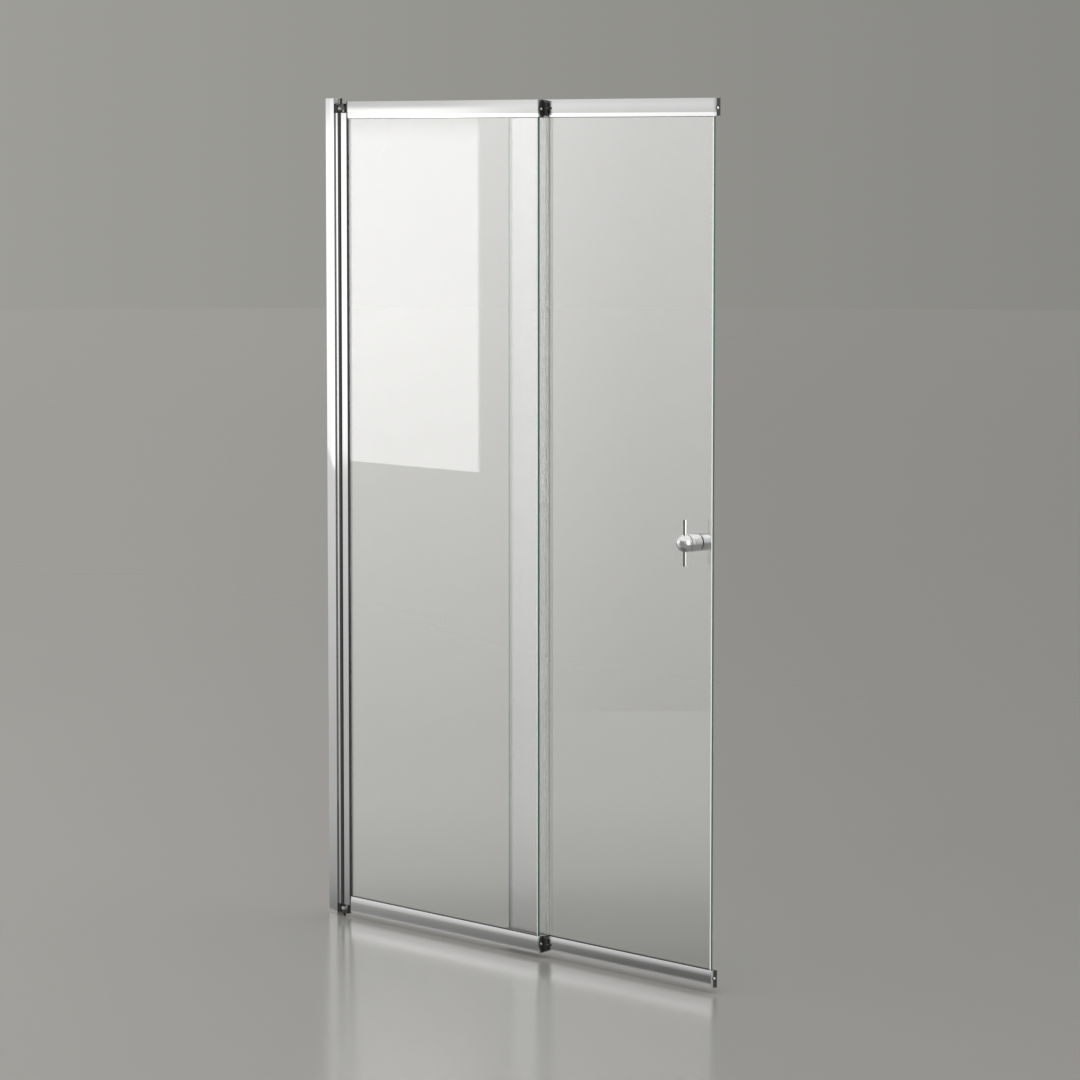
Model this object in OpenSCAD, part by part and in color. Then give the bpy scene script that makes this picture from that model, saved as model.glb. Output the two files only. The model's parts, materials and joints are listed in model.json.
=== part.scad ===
// Pivoting and sliding bath screen: a wall profile, a hinged glass panel and a second panel
// that slides behind it. X runs out from the wall along the glass, Y to the bath side, Z up.
// The origin is on the wall face, at the middle wall screw.

/* [Overall] */
// Height of the wall profile
screen_h = 1500; // [1300:10:1700]
// Width of each glazed panel over its end caps
panel_w = 520; // [460:5:640]
// How far the two panels overlap when the screen is pulled out
overlap = 100; // [70:5:160]
// Gap between the rails of the two panels
panel_gap = 1.5; // [1:0.25:4]
// Top of the rails below the top of the wall profile
rail_top_gap = 6; // [3:0.5:12]
// Underside of the rails above the foot of the wall profile
rail_foot_gap = 9; // [3:0.5:15]

/* [Glass] */
// Thickness of the glass
glass_t = 6; // [5:1:8]
// How far the glass enters a rail
glass_grip = 8; // [6:0.5:10]
// Free upright edge of the glass short of the rail's end
glass_inset = 4.5; // [3:0.5:10]
// Thickness of the glazing gasket on each side of the glass
gasket_t = 1; // [0.6:0.1:1.5]
// How far a gasket shows beyond its rail
gasket_show = 1; // [0.5:0.5:4]

/* [Wall profile] */
// Width of the wall profile, out from the wall
wall_w = 23.3; // [20:0.1:24]
// Step from the face of the wall profile back to the face of the stiles
wall_step = 3; // [2.6:0.1:5]
// Thickness of its sides
wall_t = 1.8; // [1.2:0.1:2.2]
// Thickness of the web that lies on the wall
wall_web = 2; // [1.5:0.1:3]
// Width of the inward lip at the mouth
wall_lip = 2; // [1:0.5:4]
// Rise of the crowned faces over half their width
wall_crown = 0.5; // [0.2:0.1:0.8]
// Radius of the wall screw holes
wall_hole_r = 2.6; // [2:0.1:4]
// Outer wall screw holes from the ends of the profile
wall_hole_in = 100; // [50:10:300]
// Gap between a plug in its end and the adjusting profile
wall_plug_gap = 0.5; // [0.3:0.1:3]

/* [Adjusting profile] */
// Stand-off of its outer face from the wall
adjust_reach = 31; // [28:0.5:36]
// Width of the adjusting profile
adjust_w = 21; // [18:0.5:23]
// Wall of the adjusting and the pivot profile
stile_t = 1.3; // [1:0.1:1.8]
// Side of the gasket between the pivot profile and the glass
stile_gasket = 0.7; // [0.5:0.1:1.2]
// Outer adjusting screws from the ends of the wall profile
adjust_screw_in = 200; // [150:10:400]
// Radius of the adjusting screws
adjust_screw_r = 1.9; // [1.2:0.1:2.4]

/* [Hinge] */
// Hinge axis beyond the adjusting profile
axis_gap = 4; // [4:0.25:8]
// Clearance of the pivot profile's corner when it has turned a quarter circle
swing_gap = 1; // [0.6:0.1:3]
// Upright stiles below the top of the wall profile
stile_top_gap = 26.5; // [23:0.5:40]
// Upright stiles above the foot of the wall profile
stile_foot_gap = 22; // [21.5:0.5:40]
// Height of a hinge arm's leg
leg_h = 11; // [8:0.5:11.5]
// Width of the wall side leg
leg_w = 5.5; // [3.5:0.5:8]
// Thickness of the two lapped hinge arms together
arm_h = 6; // [4:0.5:6]
// Radius of the hinge pin
pin_r = 2.4; // [2:0.1:3.2]
// Width of the shoulder under the pin's head
pin_shoulder = 0.3; // [0.2:0.1:1.5]
// Height of the pin's head
pin_head_h = 3; // [2:0.5:4]
// Running clearance round the pin
pin_clear = 0.06; // [0.02:0.01:0.1]
// Gap between hinge faces that turn past each other
hinge_play = 0.3; // [0.3:0.05:0.5]
// Wall of the collar between the legs, at its middle
collar_t = 3.2; // [1.5:0.1:3.2]
// Height of that collar
collar_h = 5.4; // [3:0.2:7.4]
// Width of the pivot side leg beside the collar
slim_leg_w = 2.4; // [1.8:0.2:4]
// Depth of that leg across the glass
slim_leg_d = 5; // [3:0.5:8]
// Thickness of the pivot arm's foot on its stile
arm_foot_h = 1.5; // [1:0.25:2.5]
// Depth to which an arm's tongue enters its stile
tongue_l = 20; // [12:1:40]
// Gap between the hinge bead and the pivot profile
bead_gap = 0.4; // [0.3:0.1:1]
// Radius of the set screws in the arms
arm_screw_r = 2; // [1.2:0.1:2.2]

/* [Pivot profile] */
// Width of the pivot profile
pivot_w = 15.2; // [14:0.2:20]
// Depth of its slot for the glass
pivot_slot = 5.9; // [4:0.1:7]
// Rails beyond the pivot profile
rail_set_off = 3.8; // [2:0.1:8]

/* [Rails] */
// Height of a rail
rail_h = 30; // [29:0.5:40]
// Back of a rail behind the middle of the glass
rail_back = 8.5; // [8:0.5:14]
// Wall of the rail
rail_t = 1.5; // [1.2:0.1:2]
// Radius of the crowned front
rail_crown_r = 120; // [80:10:300]
// Height of the bevel beside the glass
bevel_h = 6; // [3:0.5:9]
// Depth of that bevel
bevel_d = 0.9; // [0.3:0.1:1.1]
// Height of the channel in the back of the rail
channel_h = 10; // [8:0.5:10.5]
// Lip on each side of the channel's open mouth
channel_lip = 1.5; // [1:0.25:2]
// Screw port behind the front of the black end cap
port_in = 2.1; // [1.8:0.1:3.2]
// Radius of the screw port
port_r = 1.5; // [1:0.1:1.7]

/* [End fittings] */
// Thickness of the end caps
cap_t = 1.5; // [1:0.1:3]
// Depth of the bright end trim before the black cap
trim_d = 5.2; // [4.6:0.1:5.8]
// Length of the cap's plug in the channel
cap_plug = 3; // [2:0.5:10]
// Radius of the end cap screw's head
cap_head_r = 2.4; // [1.8:0.1:2.8]
// Length of the end cap screws
cap_screw_l = 14; // [8:1:40]
// Length of the guide nose beyond the hinged panel
nose_l = 9.5; // [5:0.5:20]
// Height of the guide nose at its root
nose_h = 27; // [12:1:28]
// Taper of the nose on its upper and lower side
nose_taper = 3.5; // [0.5:0.5:6]
// Thickness of the guide nose
nose_t = 3.9; // [3.2:0.1:3.9]
// Width of the nose's face round the rubber buffer
buffer_rim = 0.05; // [0.05:0.05:0.8]
// Length of the rubber buffer
buffer_l = 3; // [1.5:0.5:8]
// Length of the buffer's bare shank
buffer_neck = 2; // [0.5:0.5:5]

/* [Carriers] */
// Start of a carrier shoe from the rear end of the sliding rail
carrier_in = 5.2; // [2:0.2:20]
// Clearance round a shoe in its channel
carrier_play = 0.3; // [0.3:0.05:0.5]
// Radius of the carrier screws
carrier_screw_r = 1.5; // [1:0.1:1.8]
// Radius of their heads
carrier_head_r = 3; // [2.2:0.1:3.2]
// Carrier screws from the ends of the shoe
carrier_screw_in = 15; // [6:1:20]
// Length of the stop block that ends the slide
stop_l = 10; // [5:1:30]

/* [Panel seal] */
// Reach of the clear seal beyond the hinged glass
seal_reach = 11; // [7:0.5:16]
// Thickness of the clear seal
seal_t = 0.9; // [0.5:0.1:1.4]
// Gap left between the knob and that seal when the panel is pushed back
knob_stop_gap = 9; // [4:1:60]

/* [Pull knob] */
// Height of the knob above the foot of the wall profile
knob_height = 757.5; // [500:0.5:1000]
// Knob axis from the free edge of the sliding glass
knob_in = 35; // [25:1:80]
// Radius of the knob and of its ball
knob_r = 15; // [11:0.5:22]
// Front of the knob's ball before the glass
knob_l = 43.5; // [40:0.5:56]
// Neck between ball and cylinder behind the middle of the ball
neck_in = 5.5; // [4:0.5:8]
// Radius of the cross bar
bar_r = 3; // [2:0.1:4]
// Length of the cross bar
bar_l = 78; // [50:2:120]
// Thickness of the rubber washers
washer_t = 1; // [0.5:0.1:2]
// Radius of the inner knob
inner_knob_r = 12.5; // [9:0.5:18]
// Length of the inner knob behind the glass
inner_knob_l = 20; // [15:1:30]
// Radius of the stud
stud_r = 4; // [2.5:0.5:4.5]
// Length of the stud in each knob
stud_in = 13; // [6:1:14]
// Wall of the bush between the stud and the glass
bush_t = 2; // [1:0.5:3]

/* [Hidden] */
$fn = 48;

CHROME = [0.82, 0.83, 0.84];
SATIN = [0.74, 0.75, 0.76];
STEEL = [0.62, 0.63, 0.65];
BLACK = [0.07, 0.07, 0.075];
RUBBER = [0.1, 0.1, 0.11];
GREY_PLASTIC = [0.6, 0.6, 0.59];
CLEAR = [0.8, 0.83, 0.83, 0.5];
GLASS = [0.62, 0.74, 0.71, 0.35];

// Panels and rail ends, by number
HINGED = 0;
SLIDING = 1;
TOP = 1;
BOTTOM = 0;
// Clearances: of a shank in its thread, of pieces pushed into each other, of an end that stops
// just short of a face, and of a profile or a screw that passes through
snug = 0.02;
fit = 0.05;
shy = 0.1;
pass_clear = 0.2;
// Overlap of a cut past a face
eps = 1;
// Facets of the wide, shallow crowns
crown_fn = 720;

half_h = screen_h / 2;
wall_hole_pitch = half_h - wall_hole_in;
adjust_screw_pitch = half_h - adjust_screw_in;

// Depths across the glass all follow from the glass and its gaskets
stile_d = glass_t + 2 * (stile_gasket + stile_t);
wall_d = stile_d + 2 * wall_step;
slot_half = glass_t / 2 + gasket_t;
rail_front = slot_half + rail_t;
panel_pitch = rail_front + rail_back + panel_gap;

// Edge of each rail beside the glass
top_edge_z = half_h - rail_top_gap - rail_h;
foot_edge_z = -half_h + rail_foot_gap + rail_h;
stile_top_z = half_h - stile_top_gap;
stile_foot_z = -half_h + stile_foot_gap;
stile_len = stile_top_z - stile_foot_z;

axis_x = adjust_reach + axis_gap;
pivot_gap = stile_d / 2 + swing_gap;
pivot_x = axis_x + pivot_gap;
pivot_end = pivot_x + pivot_w;
hinged_x = pivot_end + rail_set_off;
hinged_end = hinged_x + panel_w;
sliding_x = hinged_end - overlap;
sliding_end = sliding_x + panel_w;
// Where each panel's rails start, and where the panel ends
rail_x = [hinged_x, sliding_x + cap_t];
panel_end = [hinged_end, sliding_end];

slot_v = glass_grip + gasket_t;
channel_v = rail_h - rail_t - channel_h;
channel_mid = channel_v + channel_h / 2;
channel_front = -rail_front + rail_t;
channel_back = rail_back - rail_t;
mouth_h = channel_h - 2 * channel_lip;
cap_front = trim_d - rail_front;
port_u = cap_front + port_in;
port_v = (slot_v + channel_v) / 2;
carrier_x = sliding_x + carrier_in;
carrier_end = hinged_end - cap_t - cap_plug - carrier_play;
carrier_screws_x = [carrier_x + carrier_screw_in, carrier_end - carrier_screw_in];
sliding_front = panel_pitch - rail_front;

glass_end = [hinged_end - glass_inset, sliding_end - glass_inset];
knob_x = glass_end[SLIDING] - knob_in;
// The sliding panel moves back until its knob nears the seal on the hinged glass
slide_travel = knob_x - knob_r - knob_stop_gap - (glass_end[HINGED] + seal_reach);
knob_z = knob_height - half_h;
knob_face = panel_pitch - glass_t / 2;
knob_rear = panel_pitch + glass_t / 2;

// Stands a flat section (u across the glass, v up) on the YZ plane and draws it along X
module along_x(x0, x1) {
    translate([x0, 0, 0]) rotate([90, 0, 90]) linear_extrude(x1 - x0) children();
}

// Puts rail work, drawn upwards from the rail's glass edge, on the top or the bottom rail
module at_rail(panel, place) {
    translate([0, panel * panel_pitch, place == TOP ? top_edge_z : foot_edge_z])
        mirror([0, 0, place == TOP ? 0 : 1]) children();
}

// Puts hinge work, drawn upwards from the stile's end, on the top or the bottom of the stiles
module at_stile_end(place) {
    translate([axis_x, 0, place == TOP ? stile_top_z : stile_foot_z])
        mirror([0, 0, place == TOP ? 0 : 1]) children();
}

// A box given by its lower corner and its upper corner
module block(low, high) {
    translate(low) cube(high - low);
}

// A round bar along Y from y0 to y1
module bar_y(r, x, y0, y1, z) {
    translate([x, y0, z]) rotate([-90, 0, 0]) cylinder(r = r, h = y1 - y0);
}

// A round bar along X from x0 to x1
module bar_x(r, x0, x1, y, z) {
    translate([x0, y, z]) rotate([0, 90, 0]) cylinder(r = r, h = x1 - x0);
}

// Wall profile and its plugs

wall_inner = wall_d / 2 - wall_t;
lip_inner = stile_d / 2 + pass_clear;
wall_crown_r = (pow(wall_w / 2, 2) + pow(wall_crown, 2)) / (2 * wall_crown);

module wall_section() {
    difference() {
        intersection() {
            translate([0, -wall_d / 2]) square([wall_w, wall_d]);
            translate([wall_w / 2, wall_crown_r - wall_d / 2]) circle(r = wall_crown_r, $fn = crown_fn);
            translate([wall_w / 2, wall_d / 2 - wall_crown_r]) circle(r = wall_crown_r, $fn = crown_fn);
        }
        translate([wall_web, -wall_inner]) square([wall_w - wall_web - wall_lip, 2 * wall_inner]);
        translate([wall_web, -lip_inner]) square([wall_w, 2 * lip_inner]);
    }
}

module wall_profile() color(CHROME) difference() {
    translate([0, 0, -half_h]) linear_extrude(screen_h) wall_section();
    for (i = [-1 : 1]) {
        bar_x(wall_hole_r, -eps, wall_web + eps, 0, i * wall_hole_pitch);
        bar_y(adjust_screw_r + pass_clear, adjust_screw_x, lip_inner, wall_d, i * adjust_screw_pitch);
    }
}

module wall_plug(place) color(GREY_PLASTIC) {
    low_z = place == TOP ? stile_top_z + wall_plug_gap : -half_h;
    high_z = place == TOP ? half_h : stile_foot_z - wall_plug_gap;
    block(
        [wall_web + fit, -wall_inner + fit, low_z],
        [wall_w - wall_lip - fit, wall_inner - fit, high_z]
    );
}

// Adjusting profile: a box that telescopes in the wall profile and carries the hinge

adjust_x = adjust_reach - adjust_w;
adjust_screw_x = (adjust_x + wall_w - wall_lip) / 2;
bead_r = pivot_gap - bead_gap;
// Half the width of the bead's stem, and how far it enters the stile
bead_stem = 1.1;
bead_stem_l = 2.3;

module adjusting_profile() color(SATIN) difference() {
    translate([0, 0, stile_foot_z]) linear_extrude(stile_len) difference() {
        translate([adjust_x, -stile_d / 2]) square([adjust_w, stile_d]);
        translate([adjust_x + stile_t, -stile_d / 2 + stile_t])
            square([adjust_w - 2 * stile_t, stile_d - 2 * stile_t]);
        translate([adjust_x + stile_t, -bead_stem - fit]) square([adjust_w, 2 * (bead_stem + fit)]);
    }
    for (i = [-1 : 1])
        bar_y(adjust_screw_r + snug, adjust_screw_x, 0, stile_d, i * adjust_screw_pitch);
    for (place = [BOTTOM, TOP]) at_stile_end(place) arm_screw_hole(fixed_leg);
}

module adjusting_screws() color(STEEL) for (i = [-1 : 1]) {
    head_r = 2 * adjust_screw_r;
    bar_y(adjust_screw_r, adjust_screw_x, stile_d / 2 - stile_t - eps, wall_d / 2, i * adjust_screw_pitch);
    bar_y(head_r, adjust_screw_x, wall_d / 2, wall_d / 2 + adjust_screw_r, i * adjust_screw_pitch);
}

// The dark bead is round about the hinge axis, and its stem is pushed into the stile
module hinge_seal() color(RUBBER) translate([0, 0, stile_foot_z]) linear_extrude(stile_len) {
    intersection() {
        translate([axis_x, 0]) circle(bead_r);
        translate([adjust_reach, -bead_r]) square([2 * bead_r + axis_gap, 2 * bead_r]);
    }
    translate([adjust_reach - bead_stem_l, -bead_stem]) square([bead_stem_l + axis_gap, 2 * bead_stem]);
}

// Hinge arms, drawn about the hinge axis and upwards from the stile's end

arm_half = stile_d / 2;
// Where an arm starts its full thickness, from the axis, clear of the other arm's eye
arm_relief = 1.5;
arm_start = arm_half + arm_relief;
lap_h = (arm_h - hinge_play) / 2;
// Both sides of each leg, from the axis; the fixed one stands clear of the bead's stem
fixed_leg_side = -axis_gap - bead_stem_l - hinge_play;
fixed_leg = [fixed_leg_side - leg_w, fixed_leg_side];
pivot_leg = [
    pivot_gap + stile_t + hinge_play,
    pivot_gap + pivot_w - pivot_slot - stile_t - hinge_play
];
tongue_half = stile_d / 2 - stile_t - hinge_play;
arm_top = leg_h + arm_h;
// Tip of an arm's set screw, behind the middle of the stile
arm_screw_tip = 0.5;

// Screw hole through the stile's back into the tongue under a leg
module arm_screw_hole(leg) {
    bar_y(arm_screw_r, (leg[0] + leg[1]) / 2, 0, stile_d, -tongue_l / 2);
}

module arm_screw(leg) {
    bar_y(arm_screw_r - snug, (leg[0] + leg[1]) / 2, arm_screw_tip, stile_d / 2 - shy, -tongue_l / 2);
}

// The pivot arm's leg is slim, so that the collar shows beside it; the fixed arm's fills its stile
function leg_half(leg) = leg == pivot_leg ? slim_leg_d / 2 : arm_half;
function leg_start(leg) = leg == pivot_leg ? leg[1] - slim_leg_w : leg[0];

// One arm: leg on its foot, tongue, full-thickness shoulder and half-thickness eye
module hinge_arm(leg, shoulder, eye_v, bore_r) {
    difference() {
        union() {
            block([leg[0], -arm_half, 0], [leg[1], arm_half, arm_foot_h]);
            block([leg_start(leg), -leg_half(leg), 0], [leg[1], leg_half(leg), arm_top]);
            block([min(leg[0], shoulder[0]), -arm_half, leg_h], [max(leg[1], shoulder[1]), arm_half, arm_top]);
            block([leg[0], -tongue_half, -tongue_l], [leg[1], tongue_half, eps]);
            translate([0, 0, eye_v]) cylinder(r = arm_half, h = lap_h);
            block(
                [min(0, shoulder[0]), -arm_half, eye_v],
                [max(0, shoulder[1]), arm_half, eye_v + lap_h]
            );
        }
        translate([0, 0, leg_h - eps]) cylinder(r = bore_r, h = arm_h + 2 * eps);
        arm_screw_hole(leg);
    }
}

module fixed_arm(place) color(BLACK) at_stile_end(place)
    hinge_arm(fixed_leg, [fixed_leg[0], -arm_start], arm_top - lap_h, pin_r + snug);

module pivot_arm(place) color(BLACK) at_stile_end(place)
    hinge_arm(pivot_leg, [arm_start, pivot_leg[1]], leg_h, pin_r + pin_clear);

module fixed_arm_screws() color(STEEL)
    for (place = [BOTTOM, TOP]) at_stile_end(place) arm_screw(fixed_leg);

module pivot_arm_screws() color(STEEL)
    for (place = [BOTTOM, TOP]) at_stile_end(place) arm_screw(pivot_leg);

// Pin with a raised head: it stops just above the bead and reaches the wall profile's end
module hinge_pin(place) color(BLACK) at_stile_end(place) {
    pin_end = place == TOP ? stile_top_gap : stile_foot_gap;
    translate([0, 0, hinge_play]) cylinder(r = pin_r, h = pin_end - pin_head_h);
    translate([0, 0, pin_end - pin_head_h]) cylinder(r = pin_r + pin_shoulder, h = pin_head_h);
}

// The collar is a slice from the middle of a ball
module hinge_collar(place) color(GREY_PLASTIC) at_stile_end(place)
    translate([0, 0, leg_h - hinge_play - collar_h / 2]) difference() {
        intersection() {
            sphere(r = pin_r + collar_t);
            cylinder(r = pin_r + collar_t, h = collar_h, center = true);
        }
        cylinder(r = pin_r + snug, h = collar_h + 2 * eps, center = true);
    }

// Pivot profile: box and glass slot in one extrusion

pivot_slot_half = stile_d / 2 - stile_t;

module pivot_profile() color(SATIN) difference() {
    translate([0, 0, stile_foot_z]) linear_extrude(stile_len) difference() {
        translate([pivot_x, -stile_d / 2]) square([pivot_w, stile_d]);
        translate([pivot_x + stile_t, -pivot_slot_half])
            square([pivot_w - pivot_slot - 2 * stile_t, 2 * pivot_slot_half]);
        translate([pivot_end - pivot_slot, -pivot_slot_half]) square([pivot_w, 2 * pivot_slot_half]);
    }
    for (place = [BOTTOM, TOP]) at_stile_end(place) arm_screw_hole(pivot_leg);
}

pivot_gasket_x = pivot_end - pivot_slot + shy;
// The upright gasket stops short of the line of the rails
pivot_gasket_end = hinged_x - 0.5;
hinged_glass_x = pivot_gasket_x + gasket_t;

module pivot_gasket() color(RUBBER) translate([0, 0, foot_edge_z])
    linear_extrude(top_edge_z - foot_edge_z) difference() {
        translate([pivot_gasket_x, -pivot_slot_half])
            square([pivot_gasket_end - pivot_gasket_x, 2 * pivot_slot_half]);
        translate([hinged_glass_x, -glass_t / 2]) square([pivot_w, glass_t]);
    }

// Glass

glass_top_z = top_edge_z + glass_grip;
glass_foot_z = foot_edge_z - glass_grip;

module hinged_glass() color(GLASS)
    block([hinged_glass_x, -glass_t / 2, glass_foot_z], [glass_end[HINGED], glass_t / 2, glass_top_z]);

module sliding_glass() color(GLASS) difference() {
    block(
        [sliding_x + glass_inset, panel_pitch - glass_t / 2, glass_foot_z],
        [glass_end[SLIDING], panel_pitch + glass_t / 2, glass_top_z]
    );
    bar_y(glass_hole_r, knob_x, panel_pitch - glass_t, panel_pitch + glass_t, knob_z);
}

// Rails

module rail_outline() {
    difference() {
        intersection() {
            translate([-rail_front, 0]) square([rail_front + rail_back, rail_h]);
            translate([rail_crown_r - rail_front, (bevel_h + rail_h) / 2])
                circle(r = rail_crown_r, $fn = crown_fn);
        }
        polygon([
            [-rail_front - eps, -eps],
            [-rail_front + bevel_d, -eps],
            [-rail_front + bevel_d, 0],
            [-rail_front, bevel_h],
            [-rail_front - eps, bevel_h]
        ]);
    }
}

// Two narrow chambers beside the screw port lighten the middle of the rail
chamber_v = [slot_v + rail_t, channel_v - rail_t];
front_chamber = [channel_front, port_u - port_r - rail_t];
back_chamber = [port_u + port_r + rail_t, channel_back];

module rail_section() {
    difference() {
        rail_outline();
        translate([-slot_half, -eps]) square([2 * slot_half, slot_v + eps]);
        translate([channel_front, channel_v]) square([channel_back - channel_front, channel_h]);
        translate([0, channel_mid - mouth_h / 2]) square([rail_back + eps, mouth_h]);
        translate([port_u, port_v]) circle(port_r);
        for (chamber = [front_chamber, back_chamber])
            translate([chamber[0], chamber_v[0]])
                square([chamber[1] - chamber[0], chamber_v[1] - chamber_v[0]]);
    }
}

module rail(panel, place) color(SATIN) at_rail(panel, place) difference() {
    along_x(rail_x[panel], panel_end[panel] - cap_t) rail_section();
    if (panel == SLIDING)
        for (x = carrier_screws_x)
            bar_y(carrier_screw_r + shy, x, -rail_front - eps, channel_front + eps, channel_mid);
}

module gasket(panel, place) color(RUBBER) at_rail(panel, place)
    along_x(rail_x[panel] + (panel == HINGED ? 0 : glass_inset - cap_t), glass_end[panel])
        difference() {
            translate([-slot_half, -gasket_show]) square([2 * slot_half, slot_v + gasket_show]);
            translate([-glass_t / 2, -gasket_show - eps])
                square([glass_t, glass_grip + gasket_show + eps]);
        }

// End caps: a black cap over the channel and the screw port, a bright plate before it

// Cap short of the rail's edges, raised ring round its screw, and height of the screw's head
cap_edge = 0.3;
ring_w = 1.2;
ring_h = 0.5;
head_h = 1.6;
ring_r = cap_head_r + ring_w;

module cap_plate() {
    translate([cap_front, cap_edge]) square([rail_back - cap_front, rail_h - 2 * cap_edge]);
}

module cap_screw_hole(x0, x1) {
    bar_x(port_r + pass_clear, x0, x1, port_u, port_v);
}

// Cap on the right-hand end, with its plug in the channel
module end_cap(panel, place) color(BLACK) at_rail(panel, place) {
    face = panel_end[panel];
    difference() {
        union() {
            along_x(face - cap_t, face) cap_plate();
            along_x(face - cap_t - cap_plug, face - cap_t)
                translate([channel_front + carrier_play, channel_v + carrier_play])
                    square([
                        channel_back - channel_front - 2 * carrier_play,
                        channel_h - 2 * carrier_play
                    ]);
            bar_x(ring_r, face, face + ring_h, port_u, port_v);
        }
        bar_x(cap_head_r + pass_clear, face, face + ring_h + eps, port_u, port_v);
        cap_screw_hole(face - cap_t - eps, face + eps);
    }
}

module end_trims(panel) color(SATIN) for (place = [BOTTOM, TOP]) at_rail(panel, place)
    along_x(panel_end[panel] - cap_t, panel_end[panel]) intersection() {
        rail_outline();
        translate([-rail_front, 0]) square([cap_front + rail_front, rail_h]);
    }

module cap_screw(face, outward) {
    shank = cap_screw_l * outward;
    bar_x(port_r - snug, min(face, face - shank), max(face, face - shank), port_u, port_v);
    bar_x(cap_head_r, min(face, face + head_h * outward), max(face, face + head_h * outward), port_u, port_v);
}

module cap_screws(panel) color(STEEL) for (place = [BOTTOM, TOP]) at_rail(panel, place) {
    cap_screw(panel_end[panel], 1);
    if (panel == SLIDING) cap_screw(sliding_x, -1);
}

// Joint caps fill the step between the pivot profile and the hinged rails
module hinged_joint_caps() color(BLACK) for (place = [BOTTOM, TOP]) at_rail(HINGED, place)
    along_x(pivot_end, hinged_x) difference() {
        intersection() {
            rail_outline();
            translate([-rail_front, 0]) square([rail_front + rail_back, rail_h - cap_edge]);
        }
        translate([-glass_t / 2 - fit, -eps]) square([glass_t + 2 * fit, glass_grip + eps + fit]);
    }

module sliding_rear_caps() color(BLACK) for (place = [BOTTOM, TOP]) at_rail(SLIDING, place)
    difference() {
        along_x(sliding_x, sliding_x + cap_t) rail_outline();
        cap_screw_hole(sliding_x - eps, sliding_x + cap_t + eps);
    }

// Guide nose on the end of the hinged rail, and the rubber buffer on it

nose_back = sliding_front - carrier_play;
nose_mid = nose_back - nose_t / 2;
buffer_r = nose_t / 2 - buffer_rim;
buffer_pin_r = 0.7 * buffer_r;

module guide_nose(place) color(BLACK) at_rail(HINGED, place)
    translate([hinged_end, nose_back, rail_h / 2]) rotate([90, 0, 0])
        linear_extrude(nose_t) polygon([
            [0, -nose_h / 2],
            [nose_l, -nose_h / 2 + nose_taper],
            [nose_l, nose_h / 2 - nose_taper],
            [0, nose_h / 2]
        ]);

module buffer_pins() color(STEEL) for (place = [BOTTOM, TOP]) at_rail(HINGED, place)
    bar_x(buffer_pin_r, hinged_end + nose_l, hinged_end + nose_l + buffer_neck, nose_mid, rail_h / 2);

module buffer_tips() color(RUBBER) for (place = [BOTTOM, TOP]) at_rail(HINGED, place)
    translate([hinged_end + nose_l + buffer_neck, nose_mid, rail_h / 2]) rotate([0, 90, 0])
        cylinder(r = buffer_r, h = buffer_l);

// Carrier shoes: they are screwed to the sliding rail and run in the hinged rail's channel

// How far behind the middle of the hinged glass a carrier screw's thread starts
carrier_bite = 0.5;
carrier_head_h = 2;

module carrier(place) color(BLACK) at_rail(HINGED, place) difference() {
    along_x(carrier_x, carrier_end) union() {
        translate([channel_front + carrier_play, channel_v + carrier_play])
            square([
                channel_back - channel_front - 2 * carrier_play,
                channel_h - 2 * carrier_play
            ]);
        translate([0, channel_mid - mouth_h / 2 + carrier_play])
            square([sliding_front, mouth_h - 2 * carrier_play]);
    }
    for (x = carrier_screws_x)
        bar_y(carrier_screw_r + snug, x, carrier_bite, sliding_front + eps, channel_mid);
}

module carrier_screws() color(STEEL) for (place = [BOTTOM, TOP]) at_rail(SLIDING, place)
    for (x = carrier_screws_x) {
        bar_y(carrier_screw_r, x, carrier_bite - panel_pitch + fit, channel_front, channel_mid);
        bar_y(carrier_head_r, x, channel_front, channel_front + carrier_head_h, channel_mid);
    }

module travel_stop(place) color(RUBBER) at_rail(HINGED, place)
    along_x(carrier_x - slide_travel - carrier_play - stop_l, carrier_x - slide_travel - carrier_play)
        translate([channel_front + fit, channel_v + fit])
            square([channel_back - channel_front - 2 * fit, channel_h - 2 * fit]);

// Clear seal on the back of the hinged glass, with a lip that wipes the sliding glass

// Width of the seal's foot on the glass, where its web starts and lands, and the gap at its lip
seal_foot = 6;
seal_root = 1.5;
seal_knee = seal_reach / 4;
seal_lip_gap = 0.3;
seal_tip = knob_face - seal_lip_gap;

module panel_seal() color(CLEAR)
    translate([glass_end[HINGED], 0, foot_edge_z + gasket_show + eps])
        linear_extrude(top_edge_z - foot_edge_z - 2 * (gasket_show + eps)) polygon([
            [-seal_foot, glass_t / 2],
            [0, glass_t / 2],
            [seal_knee + seal_t, seal_tip - 1.5 * seal_t],
            [seal_reach, seal_tip - seal_t],
            [seal_reach, seal_tip],
            [seal_knee, seal_tip],
            [-seal_root, glass_t / 2 + seal_t],
            [-seal_foot, glass_t / 2 + seal_t]
        ]);

// Pull knob, drawn outwards from the face of the glass

module at_knob() {
    translate([knob_x, knob_face, knob_z]) rotate([90, 0, 0]) children();
}

module at_inner_knob() {
    translate([knob_x, knob_rear, knob_z]) rotate([-90, 0, 0]) children();
}

// The cross bar runs through the middle of the ball
bar_off = knob_l - knob_r;
glass_hole_r = stud_r + bush_t;
// The ball meets the cylinder in a neck, where the ball has this radius
neck_off = bar_off - neck_in;
neck_r = sqrt(pow(knob_r, 2) - pow(neck_in, 2));
grub_r = 1.5;
grub_in = 1;
grub_v = washer_t + stud_in - 2 * grub_r;
// A washer stands back from the knob's edge, and the inner knob has a small chamfer
washer_in = 0.8;
knob_chamfer = 1;
// Length of the cylinder's slope down to the neck
neck_step = 0.8;

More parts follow.
